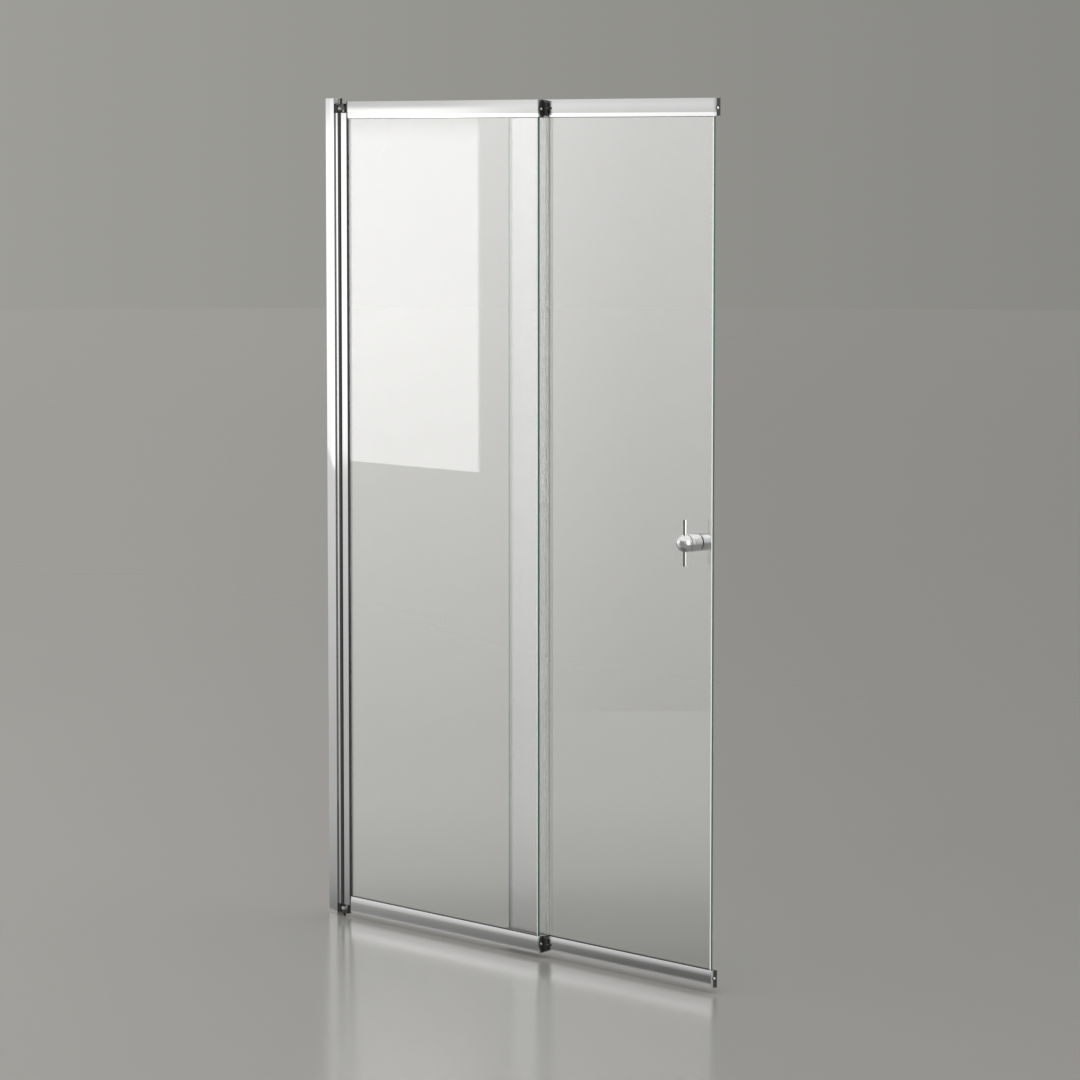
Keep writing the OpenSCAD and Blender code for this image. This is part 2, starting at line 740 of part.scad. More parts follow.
module knob_body() color(CHROME) at_knob() difference() {
    union() {
        translate([0, 0, washer_t]) cylinder(r = knob_r, h = neck_off - neck_step - washer_t);
        translate([0, 0, neck_off - neck_step]) cylinder(r1 = knob_r, r2 = neck_r, h = neck_step);
        translate([0, 0, bar_off]) sphere(r = knob_r, $fn = 96);
    }
    translate([0, 0, washer_t - eps]) cylinder(r = stud_r + fit, h = stud_in + eps);
    translate([0, -knob_r - eps, bar_off]) rotate([-90, 0, 0])
        cylinder(r = bar_r, h = 2 * (knob_r + eps));
    translate([0, 0, grub_v]) rotate([0, 90, 0]) cylinder(r = grub_r, h = knob_r + eps);
}

module knob_cross_bar() color(CHROME) at_knob()
    translate([0, -bar_l / 2, bar_off]) rotate([-90, 0, 0]) cylinder(r = bar_r - snug, h = bar_l);

module knob_grub_screw() color(RUBBER) at_knob() translate([stud_r + fit, 0, grub_v])
    rotate([0, 90, 0]) cylinder(r = grub_r - snug, h = knob_r - stud_r - grub_in);

module knob_washer() color(RUBBER) at_knob() difference() {
    cylinder(r = knob_r - washer_in, h = washer_t);
    translate([0, 0, -eps]) cylinder(r = stud_r + fit, h = washer_t + 2 * eps);
}

module inner_knob() color(CHROME) at_inner_knob() difference() {
    union() {
        translate([0, 0, washer_t])
            cylinder(r = inner_knob_r, h = inner_knob_l - washer_t - knob_chamfer);
        translate([0, 0, inner_knob_l - knob_chamfer])
            cylinder(r1 = inner_knob_r, r2 = inner_knob_r - knob_chamfer, h = knob_chamfer);
    }
    translate([0, 0, washer_t - eps]) cylinder(r = stud_r + fit, h = stud_in + eps);
}

module inner_knob_washer() color(RUBBER) at_inner_knob() difference() {
    cylinder(r = inner_knob_r - washer_in, h = washer_t);
    translate([0, 0, -eps]) cylinder(r = stud_r + fit, h = washer_t + 2 * eps);
}

module knob_stud() color(STEEL)
    bar_y(stud_r, knob_x, knob_face - stud_in, knob_rear + stud_in, knob_z);

module glass_bush() color(GREY_PLASTIC) difference() {
    bar_y(glass_hole_r - fit, knob_x, knob_face, knob_rear, knob_z);
    bar_y(stud_r + fit, knob_x, knob_face - eps, knob_rear + eps, knob_z);
}

wall_profile();
wall_plug(TOP);  // wall_plug_top
wall_plug(BOTTOM);  // wall_plug_bottom
adjusting_profile();
adjusting_screws();
hinge_seal();
fixed_arm(TOP);  // fixed_arm_top
fixed_arm(BOTTOM);  // fixed_arm_bottom
fixed_arm_screws();
hinge_pin(TOP);  // hinge_pin_top
hinge_pin(BOTTOM);  // hinge_pin_bottom
hinge_collar(TOP);  // hinge_collar_top
hinge_collar(BOTTOM);  // hinge_collar_bottom
pivot_arm(TOP);  // pivot_arm_top
pivot_arm(BOTTOM);  // pivot_arm_bottom
pivot_arm_screws();
pivot_profile();
pivot_gasket();
hinged_glass();
rail(HINGED, TOP);  // hinged_rail_top
rail(HINGED, BOTTOM);  // hinged_rail_bottom
gasket(HINGED, TOP);  // hinged_gasket_top
gasket(HINGED, BOTTOM);  // hinged_gasket_bottom
hinged_joint_caps();
end_cap(HINGED, TOP);  // hinged_cap_top
end_cap(HINGED, BOTTOM);  // hinged_cap_bottom
end_trims(HINGED);  // hinged_end_trims
cap_screws(HINGED);  // hinged_cap_screws
guide_nose(TOP);  // guide_nose_top
guide_nose(BOTTOM);  // guide_nose_bottom
buffer_pins();
buffer_tips();
travel_stop(TOP);  // travel_stop_top
travel_stop(BOTTOM);  // travel_stop_bottom
panel_seal();
sliding_glass();
rail(SLIDING, TOP);  // sliding_rail_top
rail(SLIDING, BOTTOM);  // sliding_rail_bottom
gasket(SLIDING, TOP);  // sliding_gasket_top
gasket(SLIDING, BOTTOM);  // sliding_gasket_bottom
end_cap(SLIDING, TOP);  // sliding_cap_top
end_cap(SLIDING, BOTTOM);  // sliding_cap_bottom
sliding_rear_caps();
end_trims(SLIDING);  // sliding_end_trims
cap_screws(SLIDING);  // sliding_cap_screws
carrier(TOP);  // carrier_top
carrier(BOTTOM);  // carrier_bottom
carrier_screws();
knob_body();
knob_cross_bar();
knob_grub_screw();
knob_washer();
inner_knob();
inner_knob_washer();
knob_stud();
glass_bush();
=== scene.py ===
# %% [markdown]
# # A sliding bath screen, dressed in Blender
#
# The construction model already gives this bath screen its size, its joints and its solids. This
# lesson gives it the looks of the real one: polished and satin aluminium, black moulded fittings,
# two sheets of toughened glass and a chrome pull knob, under soft studio light.
# The first cell loads that model as a fixed frame. Everything after it is in metres and in the
# frame's own axes: X runs out from the wall along the glass, Y to the bath side and Z up.

# %% Load the frame
import json
from math import atan2, cos, pi, radians, sin

import bmesh
import bpy
from mathutils import Matrix, Vector


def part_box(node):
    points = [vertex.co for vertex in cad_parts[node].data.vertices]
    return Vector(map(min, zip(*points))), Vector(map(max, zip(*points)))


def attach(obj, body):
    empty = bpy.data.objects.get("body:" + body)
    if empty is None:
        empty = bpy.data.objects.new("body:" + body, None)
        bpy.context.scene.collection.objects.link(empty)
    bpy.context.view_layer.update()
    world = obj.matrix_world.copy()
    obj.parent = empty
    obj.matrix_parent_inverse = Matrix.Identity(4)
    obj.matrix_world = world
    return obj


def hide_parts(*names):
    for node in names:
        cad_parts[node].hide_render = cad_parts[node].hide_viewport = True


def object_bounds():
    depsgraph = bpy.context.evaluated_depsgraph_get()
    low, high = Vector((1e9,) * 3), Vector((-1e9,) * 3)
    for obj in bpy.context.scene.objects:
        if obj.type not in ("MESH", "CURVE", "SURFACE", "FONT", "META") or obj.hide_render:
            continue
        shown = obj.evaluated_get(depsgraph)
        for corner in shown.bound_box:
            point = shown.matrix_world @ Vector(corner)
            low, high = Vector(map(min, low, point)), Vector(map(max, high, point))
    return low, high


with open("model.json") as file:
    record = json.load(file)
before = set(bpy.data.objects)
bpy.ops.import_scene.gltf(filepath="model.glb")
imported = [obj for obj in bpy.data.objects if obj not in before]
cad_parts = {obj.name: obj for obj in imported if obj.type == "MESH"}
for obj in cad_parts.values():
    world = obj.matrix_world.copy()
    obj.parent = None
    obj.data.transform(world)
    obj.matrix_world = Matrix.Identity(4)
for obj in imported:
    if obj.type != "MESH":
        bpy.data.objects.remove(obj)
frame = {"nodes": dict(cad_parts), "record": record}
cad_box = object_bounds()
print("CAD box:", [[round(n, 4) for n in corner] for corner in cad_box])

# %% [markdown]
# Each solid of the frame belongs to a body that moves as one, and names the finish that the record
# gives it. Both are looked up by the solid's name from here on, so that no list of them is typed
# twice.

# %% Look up bodies and finishes
MM = 0.001
scene = bpy.context.scene
finish_name = {row["node"]: row["material_slot"] for row in frame["record"]["subparts"]}
body_of = {
    node: body
    for body, nodes in frame["record"]["behaviour"]["bodies"].items()
    for node in nodes
}
print(len(finish_name), "solids in", len(set(finish_name.values())), "finishes")

# %% [markdown]
# ## The camera
#
# The photograph was taken with a long lens from the free end of the screen, a little above its
# middle. A long lens is found by matching points: the corners of the wall profile, the rails, the
# caps and the knob give the place, the two angles and the focal length that bring all of them
# within a pixel or two of where the photograph has them.

# %% Place the camera
CAMERA_PLACE = Vector((5.9949, -4.7955, 0.6752))
CAMERA_YAW = radians(48.476)
CAMERA_PITCH = radians(5.452)
SENSOR_WIDTH = 36.0
FOCAL_PIXELS = 4193.3
FRAME_PIXELS = 1080

view_axis = Vector((
    -sin(CAMERA_YAW) * cos(CAMERA_PITCH),
    cos(CAMERA_YAW) * cos(CAMERA_PITCH),
    -sin(CAMERA_PITCH),
))
lens_data = bpy.data.cameras.new("studio_camera")
lens_data.sensor_width = SENSOR_WIDTH
lens_data.lens = SENSOR_WIDTH * FOCAL_PIXELS / FRAME_PIXELS
lens_data.clip_end = 200
camera = bpy.data.objects.new("studio_camera", lens_data)
camera.location = CAMERA_PLACE
camera.rotation_euler = view_axis.to_track_quat("-Z", "Y").to_euler()
scene.collection.objects.link(camera)
scene.camera = camera
print("lens:", round(lens_data.lens, 1), "mm")

# %% [markdown]
# ## Writing a finish as sums
#
# Shader nodes can be wired one by one, but a finish reads better as arithmetic. A small class
# holds one output socket. Adding to it or multiplying it adds the Math node that does so, and one
# method makes any other kind of node: its settings come first, then what goes into it.

# %% A socket that can be calculated with
class Wire:
    """One output of a node, or only the tree when there is no socket yet."""

    def __init__(self, tree, socket=None):
        self.tree = tree
        self.socket = socket

    def node(self, kind, settings=None, plugs=None, output=0):
        made = self.tree.nodes.new("ShaderNode" + kind)
        for name, value in (settings or {}).items():
            if name == "stops":
                set_stops(made.color_ramp, value)
            else:
                setattr(made, name, value)
        for name, value in (plugs or {}).items():
            if isinstance(value, Wire):
                self.tree.links.new(value.socket, made.inputs[name])
            else:
                made.inputs[name].default_value = value
        return Wire(self.tree, made.outputs[output])

    def math(self, operation, *values):
        return self.node("Math", {"operation": operation}, dict(enumerate(values)))

    def __add__(self, other):
        return self.math("ADD", self, other)

    def __sub__(self, other):
        return self.math("SUBTRACT", self, other)

    def __mul__(self, other):
        return self.math("MULTIPLY", self, other)

    def __truediv__(self, other):
        return self.math("DIVIDE", self, other)

    def __pow__(self, other):
        return self.math("POWER", self, other)

    __radd__ = __add__


def set_stops(ramp, stops):
    """Gives a colour ramp its stops, as pairs of a place and a colour."""
    for place, _ in stops[1:-1]:
        ramp.elements.new(place)
    for element, (place, colour) in zip(ramp.elements, stops):
        element.position = place
        element.color = colour


# %% [markdown]
# Patterns are laid in the object's own coordinates, in metres, so their grain has a real size.
# A Mapping node that divides each axis by a length gives noise whose blots have those lengths:
# long on one axis and narrow on the other two makes the draw lines of an extrusion.

# %% Helpers for patterns
def noise(start, size, detail=2.0, roughness=0.5):
    """Noise from 0 to 1 whose blots measure about size (x, y, z) in metres."""
    place = start.node("TexCoord", output="Object")
    scaled = start.node("Mapping", None, {
        "Vector": place,
        "Scale": tuple(1 / length for length in size),
    })
    return start.node("TexNoise", None, {
        "Vector": scaled,
        "Scale": 1.0,
        "Detail": detail,
        "Roughness": roughness,
    })


def along(start, place, direction):
    """How far a place lies along a direction."""
    return start.node("VectorMath", {"operation": "DOT_PRODUCT"}, {0: place, 1: direction}, "Value")


def fade(start, value, first, last, at_first=0.0, at_last=1.0, smooth=False):
    """A number that goes from at_first to at_last as value goes from first to last."""
    settings = {"interpolation_type": "SMOOTHSTEP"} if smooth else None
    return start.node("MapRange", settings, {
        "Value": value, "From Min": first, "From Max": last, "To Min": at_first, "To Max": at_last,
    })


def tint(start, mask, low, high):
    """A colour between low, where mask is 0, and high, where it is 1. Each is a wire or a triple."""
    low, high = (end if isinstance(end, Wire) else (*end, 1.0) for end in (low, high))
    return start.node("Mix", {"data_type": "RGBA"}, {0: mask, 6: low, 7: high}, output=2)


def shaded(colour, factor):
    """A colour made lighter or darker by a plain factor."""
    return tuple(channel * factor for channel in colour)


def relief(start, height, depth):
    """A normal for a surface that rises by depth metres where height is 1."""
    return start.node("Bump", None, {"Height": height, "Strength": 1.0, "Distance": depth})


def blank(name):
    """A material without nodes, and the start of its tree."""
    material = bpy.data.materials.new(name)
    material.use_nodes = True
    material.node_tree.nodes.clear()
    return material, Wire(material.node_tree)


def show(shader):
    """Makes a shader the surface of its material."""
    output = shader.tree.nodes.new("ShaderNodeOutputMaterial")
    shader.tree.links.new(shader.socket, output.inputs["Surface"])


def finish(name, constants, varied):
    """A material with one Principled shader: constants on its sockets, and varied from patterns."""
    material, start = blank(name)
    show(start.node("BsdfPrincipled", None, {**constants, **varied(start)}))
    return material


finishes = {}

# %% [markdown]
# ## Aluminium and steel
#
# The profiles are extruded aluminium. The die leaves fine lines along their length, the satin ones
# are then etched and anodised, which blurs them, and the wall profile is polished to a mirror, so
# that only a trace of the lines is left. Along a line everything is alike and across it the
# roughness and the height change every few tenths of a millimetre. Larger, softer blots stand for
# uneven etching and for the hands that fitted it.

# %% Extruded metal
LINE_WIDTH = 0.25 * MM
LINE_LENGTH = 60 * MM
BLOT_SIZE = (45 * MM, 20 * MM, 45 * MM)
BLOT_SHARE = 0.6


def drawn_metal(name, colour, gloss, spread, depth):
    """An upright extrusion with draw lines along Z. spread is how much the gloss varies."""
    def varied(start):
        lines = noise(start, (LINE_WIDTH, LINE_WIDTH, LINE_LENGTH), detail=3.0)
        blots = noise(start, BLOT_SIZE, detail=3.0)
        mottle = blots * BLOT_SHARE + lines * (1 - BLOT_SHARE)
        return {
            "Base Color": tint(start, mottle, shaded(colour, 0.94), shaded(colour, 1.05)),
            "Roughness": gloss + (lines - 0.5) * spread + (blots - 0.5) * spread,
            "Normal": relief(start, lines, depth),
        }

    return finish(name, {"Metallic": 1.0}, varied)


finishes["chrome_profile"] = drawn_metal(
    "polished_aluminium", (0.535, 0.54, 0.54), 0.05, 0.02, 0.0004 * MM
)
finishes["satin_stile"] = drawn_metal(
    "satin_aluminium_stiles", (0.53, 0.53, 0.53), 0.11, 0.04, 0.0008 * MM
)

# %% [markdown]
# The rails are satin too. The lip next to the glass is painted bright, a painted highlight that is
# the white line along each pane in the photograph. Both rails are alike when turned over, so the
# height is taken from the middle of the screen. The crown of the face is polished rounder than it
# was drawn, and a bump that falls away with the square of the height gives its shading the same
# roll. The lower rails are painted a little lighter than the upper ones, as painted light.

# %% Rails
RAIL_MIDDLE = 735 * MM
LIP_TOP = 720 * MM
LIP_FADE = 1.2 * MM
CROWN_ROLL = 0.3
BETWEEN_RAILS = 0.1
UPPER_SATIN_PAINTED_SHADE = ((0.435, 0.435, 0.435), (0.475, 0.475, 0.475))
LOWER_SATIN_PAINTED_LIGHT = ((0.64, 0.64, 0.64), (0.70, 0.70, 0.70))
PAINTED_LIP_HIGHLIGHT = (0.80, 0.80, 0.80)


def rail_pattern(start):
    place = start.node("TexCoord", output="Object")
    height = start.node("SeparateXYZ", None, {0: place}, output="Z")
    above = start.math("ABSOLUTE", height)
    aside = above - RAIL_MIDDLE
    lines = noise(start, (LINE_LENGTH, LINE_WIDTH, LINE_WIDTH), detail=3.0)
    blots = noise(start, BLOT_SIZE, detail=3.0)
    mottle = blots * BLOT_SHARE + lines * (1 - BLOT_SHARE)
    # Painted light: the lower rails get a lighter copy of the satin than the upper ones.
    is_lower = fade(start, height, -BETWEEN_RAILS, BETWEEN_RAILS, 1.0, 0.0)
    satin = tint(start, is_lower, tint(start, mottle, *UPPER_SATIN_PAINTED_SHADE), tint(start, mottle, *LOWER_SATIN_PAINTED_LIGHT))
    # Painted highlight: the lip next to the glass is painted bright.
    painted_lip_mask = fade(start, above, LIP_TOP, LIP_TOP + LIP_FADE, 1.0, 0.0)
    return {
        "Base Color": tint(start, painted_lip_mask, satin, PAINTED_LIP_HIGHLIGHT),
        "Roughness": 0.15 + (lines - 0.5) * 0.04 + (blots - 0.5) * 0.04,
        "Normal": relief(start, lines * 0.0006 * MM - aside * aside * CROWN_ROLL, 1.0),
    }


finishes["satin_rail"] = finish("satin_aluminium_rails_painted_light", {"Metallic": 1.0}, rail_pattern)

# %% [markdown]
# The knob is turned brass with a chrome plate. Plating doesn't hide the lathe: under it are rings
# about the knob's own axis, a few hundredths of a millimetre apart, that pull each highlight out
# into a radial streak. The rings are noise on the distance from the axis, found by centring the
# coordinates on the knob.

# %% Plated knob
knob_low, knob_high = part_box("knob_body")
knob_axis = (knob_low + knob_high) / 2
RING_PITCH = 0.18 * MM


def turned_metal(name, colour, gloss):
    """Metal turned about the knob's axis, which runs along Y."""
    def varied(start):
        place = start.node("TexCoord", output="Object")
        centred = start.node("VectorMath", {"operation": "SUBTRACT"}, {
            0: place, 1: (knob_axis.x, 0.0, knob_axis.z),
        })
        flat = start.node("VectorMath", {"operation": "MULTIPLY"}, {0: centred, 1: (1.0, 0.0, 1.0)})
        radius = start.node("VectorMath", {"operation": "LENGTH"}, {0: flat}, output="Value")
        rings = start.node("TexNoise", {"noise_dimensions": "1D"}, {
            "W": radius / RING_PITCH, "Scale": 1.0, "Detail": 2.0,
        })
        haze = noise(start, (6 * MM, 6 * MM, 6 * MM), detail=3.0)
        return {
            "Base Color": tint(start, haze, shaded(colour, 0.95), shaded(colour, 1.04)),
            "Roughness": gloss + haze * 0.03 + rings * 0.04,
            "Normal": relief(start, rings, 0.0012 * MM),
        }

    return finish(name, {"Metallic": 1.0}, varied)


finishes["chrome"] = turned_metal("turned_chrome", (0.62, 0.625, 0.63), 0.07)

# %% [markdown]
# The cross bar is brushed, and as in the photograph one side of it is dark and the other light:
# painted shade and a painted highlight in its colour.
# Which side a point is on is how far it lies from the bar's own axis, along a level direction.

# %% Cross bar
bar_low, bar_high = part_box("knob_cross_bar")
bar_axis = (bar_low + bar_high) / 2
PAINTED_HIGHLIGHT_SIDE = Vector((0.669, 0.743, 0.0))
SHADE_WIDTH = 1 * MM
BAR_PAINTED_SHADE = (0.10, 0.10, 0.10)
BAR_PAINTED_HIGHLIGHT = (0.98, 0.98, 0.98)


def bar_pattern(start):
    place = start.node("TexCoord", output="Object")
    middle = Vector((bar_axis.x, bar_axis.y, 0.0)).dot(PAINTED_HIGHLIGHT_SIDE)
    # The bar's colour is painted shade on one side and a painted highlight on the other side.
    light = fade(
        start, along(start, place, PAINTED_HIGHLIGHT_SIDE), middle - SHADE_WIDTH / 2, middle + SHADE_WIDTH / 2
    )
    haze = noise(start, (2 * MM, 2 * MM, 12 * MM), detail=3.0)
    return {
        "Base Color": tint(start, light, BAR_PAINTED_SHADE, BAR_PAINTED_HIGHLIGHT),
        "Roughness": 0.28 + haze * 0.08,
        "Normal": relief(start, haze, 0.001 * MM),
    }


bar_chrome_painted_light = finish("brushed_bar_painted_light", {"Metallic": 1.0}, bar_pattern)

# %% [markdown]
# Screws are plain rolled steel, with a fine speckle in their gloss.

# %% Steel
def speckled_metal(name, colour, gloss, metallic):
    """Small turned and rolled steel pieces."""
    def varied(start):
        speckle = noise(start, (0.3 * MM, 0.3 * MM, 0.3 * MM), detail=4.0)
        return {
            "Base Color": tint(start, speckle, shaded(colour, 0.8), shaded(colour, 1.15)),
            "Roughness": gloss + (speckle - 0.5) * 0.2,
            "Normal": relief(start, speckle, 0.004 * MM),
        }

    return finish(name, {"Metallic": metallic}, varied)


finishes["steel"] = speckled_metal("screw_steel", (0.86, 0.86, 0.85), 0.24, 1.0)
finishes["dark_steel"] = speckled_metal("blackened_steel", (0.03, 0.03, 0.032), 0.38, 0.4)

# %% [markdown]
# ## Plastic, rubber and vinyl
#
# Moulded plastic takes the grain of its mould: cells about half a millimetre wide, too fine to see
# one by one but enough to soften a highlight. A Voronoi texture has that cellular look, where
# plain noise would look like dirt. Rubber is duller and carries a little dust, and its grain is
# finer and more even.

# %% Moulded plastic and rubber
def moulded(name, colour, gloss, grain, depth, dust):
    """Plastic or rubber: grain is the width of a cell in metres, dust the lightest tone on it."""
    def varied(start):
        place = start.node("TexCoord", output="Object")
        cells = start.node("TexVoronoi", None, {"Vector": place, "Scale": 1 / grain})
        film = noise(start, (12 * MM, 12 * MM, 12 * MM), detail=5.0, roughness=0.65)
        return {
            "Base Color": tint(start, film ** 2, colour, dust),
            "Roughness": gloss + (film - 0.5) * 0.16 + cells * 0.06,
            "Normal": relief(start, cells, depth),
        }

    return finish(name, {"IOR": 1.5}, varied)


finishes["black_plastic"] = moulded(
    "black_moulded_plastic", (0.026, 0.026, 0.027), 0.36, 0.45 * MM, 0.006 * MM, (0.042, 0.042, 0.042)
)
finishes["grey_plastic"] = moulded(
    "grey_moulded_plastic", (0.46, 0.46, 0.45), 0.42, 0.45 * MM, 0.006 * MM, (0.54, 0.54, 0.53)
)
finishes["seal_rubber"] = moulded(
    "black_rubber", (0.02, 0.021, 0.021), 0.5, 0.25 * MM, 0.004 * MM, (0.034, 0.034, 0.033)
)

# %% [markdown]
# The seal between the panels is clear vinyl. It isn't as clear as glass: it is drawn through a die
# and handled, so it shows faint lines along its length and blurs what is behind it.

# %% Clear vinyl
def vinyl_pattern(start):
    lines = noise(start, (3 * MM, 3 * MM, 600 * MM), detail=1.0)
    film = noise(start, (25 * MM, 25 * MM, 25 * MM), detail=3.0)
    return {
        "Base Color": tint(start, film, (0.90, 0.915, 0.91), (0.95, 0.96, 0.955)),
        "Normal": relief(start, lines, 0.0001 * MM),
    }


finishes["clear_vinyl"] = finish(
    "clear_vinyl_seal",
    {"Roughness": 0.08, "IOR": 1.45, "Transmission Weight": 0.85, "Alpha": 0.16},
    vinyl_pattern,
)

# %% [markdown]
# ## Glass
#
# A pane has a few finishes on one sheet. Its faces are float glass: clear, a trace of green, and
# with a strong mirror image at this slanting view. Rollers leave a wave in toughened glass too
# shallow to see except where a reflection bends, so the faces carry a bump of long, low waves.
# The edge is ground and polished, and one looks along hundreds of millimetres of glass there, so
# it is a deep green. Between the two a ground arris is frosted white, with a painted glow: it emits
# light though it is no lamp. Near the rear end a face is painted with the edge's green as a painted
# refraction of the edge, and beside it with a half-clear green as a painted reflection of it.
#
# A ray from a lamp goes straight through the face, which a Mix Shader with Light Path does: plain
# glass would leave a hard dark shadow on the floor, as path tracing finds lamps badly through it.

# %% Glass faces
def glass_face():
    material, start = blank("glass_face")
    waves = noise(start, (260 * MM, 260 * MM, 90 * MM), detail=1.0)
    cast = noise(start, (200 * MM, 200 * MM, 200 * MM), detail=1.0)
    shader = start.node("BsdfPrincipled", None, {
        "Base Color": tint(start, cast, (0.978, 0.985, 0.982), (0.986, 0.991, 0.988)),
        "Roughness": 0.0,
        "IOR": 1.52,
        "Transmission Weight": 1.0,
        "Coat Weight": 1.0,
        "Coat Roughness": 0.0,
        "Coat IOR": 2.0,
        "Normal": relief(start, waves, 0.002 * MM),
    })
    clear = start.node("BsdfTransparent", None, {"Color": (0.86, 0.89, 0.87, 1.0)})
    lamp_ray = start.node("LightPath", output="Is Shadow Ray")
    show(start.node("MixShader", None, {0: lamp_ray, 1: shader, 2: clear}))
    return material


finishes["clear_glass"] = glass_face()

# %% Glass edges
def edge_pattern(start):
    depth = noise(start, (3 * MM, 3 * MM, 30 * MM), detail=3.0)
    return {
        "Base Color": tint(start, depth, (0.040, 0.088, 0.074), (0.075, 0.145, 0.122)),
        "Roughness": 0.12 + depth * 0.1,
        "Normal": relief(start, depth, 0.01 * MM),
    }


def arris_pattern(start):
    grinding = noise(start, (0.5 * MM, 0.5 * MM, 0.5 * MM), detail=4.0)
    return {
        "Base Color": tint(start, grinding, (0.90, 0.92, 0.91), (0.97, 0.975, 0.97)),
        "Roughness": 0.45 + grinding * 0.2,
        "Normal": relief(start, grinding, 0.02 * MM),
    }


glass_edge = finish("polished_glass_edge", {"IOR": 1.52}, edge_pattern)
painted_edge_reflection = finish("edge_painted_reflection", {"IOR": 1.52, "Alpha": 0.55}, edge_pattern)
# The arris's Emission is a painted glow: the arris is no lamp.
glass_arris_painted_glow = finish(
    "frosted_arris_painted_glow",
    {"IOR": 1.52, "Emission Color": (1.0, 1.0, 1.0, 1.0), "Emission Strength": 0.26},
    arris_pattern,
)
print(len(finishes), "finishes of the record made, and", bar_chrome_painted_light.name, "for the bar")

# %% [markdown]
# ## Easing the edges
#
# No edge of a real part is perfectly sharp: it catches a thin line of light. Most solids of the
# frame only lack that. Each is copied, its loose triangles are merged and joined into whole faces,
# and its outer corners get a narrow round. The frame's own solid stays as it is and the copy stands
# in for it, riding on the same body.

# %% Helpers for pieces
SMOOTH_ANGLE = radians(32)
FLAT_ANGLE = radians(0.1)
MERGE_DISTANCE = 0.001 * MM


def add_piece(name, mesh, materials, node, *also_replaced):
    """Makes a bmesh an object that stands for CAD nodes, and moves with the first one's body."""
    bmesh.ops.recalc_face_normals(mesh, faces=mesh.faces)
    for face in mesh.faces:
        face.smooth = True
    for edge in mesh.edges:
        edge.smooth = edge.is_manifold and edge.calc_face_angle(0) < SMOOTH_ANGLE
    data = bpy.data.meshes.new(name)
    mesh.to_mesh(data)
    mesh.free()
    piece = bpy.data.objects.new(name, data)
    scene.collection.objects.link(piece)
    for material in materials:
        data.materials.append(material)
    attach(piece, body_of[node])
    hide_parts(node, *also_replaced)
    return piece


def merged_copy(node):
    """A bmesh copy of a CAD node, with its triangles joined into whole faces."""
    mesh = bmesh.new()
    mesh.from_mesh(frame["nodes"][node].data)
    bmesh.ops.remove_doubles(mesh, verts=mesh.verts, dist=MERGE_DISTANCE)
    bmesh.ops.dissolve_limit(
        mesh, angle_limit=FLAT_ANGLE, use_dissolve_boundaries=False,
        verts=mesh.verts, edges=mesh.edges,
    )
    return mesh


def ease(mesh, width, segments, least_angle=30):
    """Rounds every outer corner of a mesh that is sharper than least_angle degrees."""
    corners = [
        edge for edge in mesh.edges
        if edge.is_manifold and edge.calc_face_angle_signed(0) > radians(least_angle)
    ]
    bmesh.ops.bevel(
        mesh, geom=corners, offset=width, offset_type="OFFSET", segments=segments,
        profile=0.5, affect="EDGES", clamp_overlap=True, material=-1,
    )


def eased(node, width, segments=2):
    """Stands an eased copy in for a CAD node."""
    mesh = merged_copy(node)
    ease(mesh, width, segments)
    piece = add_piece(node + "_eased", mesh, [finishes[finish_name[node]]], node)
    evened = piece.modifiers.new("even_shading", "WEIGHTED_NORMAL")
    evened.keep_sharp = True


# %% [markdown]
# The width of the round follows the way a piece is made. A sawn extrusion is only deburred, a
# moulded cap has a radius one can feel, and a die-cut rubber has almost none.

# %% Ease the plain pieces
EASE_WIDTHS = {
    "wall_profile": 0.2, "wall_plug_top": 0.3, "wall_plug_bottom": 0.3,
    "adjusting_profile": 0.15, "pivot_profile": 0.2,
    "fixed_arm_top": 0.4, "fixed_arm_bottom": 0.4,
    "pivot_arm_top": 0.4, "pivot_arm_bottom": 0.4,
    "hinged_rail_top": 0.7, "hinged_rail_bottom": 0.7,
    "sliding_rail_top": 0.7, "sliding_rail_bottom": 0.7,
    "hinged_joint_caps": 0.4, "sliding_rear_caps": 0.4,
    "hinged_cap_top": 0.35, "hinged_cap_bottom": 0.35,
    "sliding_cap_top": 0.35, "sliding_cap_bottom": 0.35,
    "hinged_end_trims": 0.3, "sliding_end_trims": 0.3,
    "guide_nose_top": 0.5, "guide_nose_bottom": 0.5,
    "carrier_top": 0.3, "carrier_bottom": 0.3,
    "hinged_gasket_top": 0.15, "hinged_gasket_bottom": 0.15,
    "sliding_gasket_top": 0.15, "sliding_gasket_bottom": 0.15,
    "pivot_gasket": 0.1, "travel_stop_top": 0.4, "travel_stop_bottom": 0.4,
    "panel_seal": 0.12,
}
for node, width in EASE_WIDTHS.items():
    eased(node, width * MM)
print("eased pieces:", len(EASE_WIDTHS))

# %% [markdown]
# ## Turned pieces
#
# Pins, collars, washers and knobs are round about an axis, so each is an outline spun a full turn,
# as on a lathe. The outline is a chain of points, each a radius and a height. A helper gives a
# corner its round, because the light on a turned edge says more than the flat beside it.

# %% The lathe
STEPS = 96


def rounded(corner_r, corner_h, radius, quarter, points=5):
    """Points of a quarter round of a corner, ready for an outline. quarter is 1 for a corner whose
    outline runs outwards then upwards, and 2 for one that runs upwards then inwards."""
    centre_r = corner_r - radius
    centre_h = corner_h + radius if quarter == 1 else corner_h - radius
    first = -pi / 2 if quarter == 1 else 0.0
    return [
        (
            centre_r + radius * cos(first + pi / 2 * i / (points - 1)),
            centre_h + radius * sin(first + pi / 2 * i / (points - 1)),
        )
        for i in range(points)
    ]


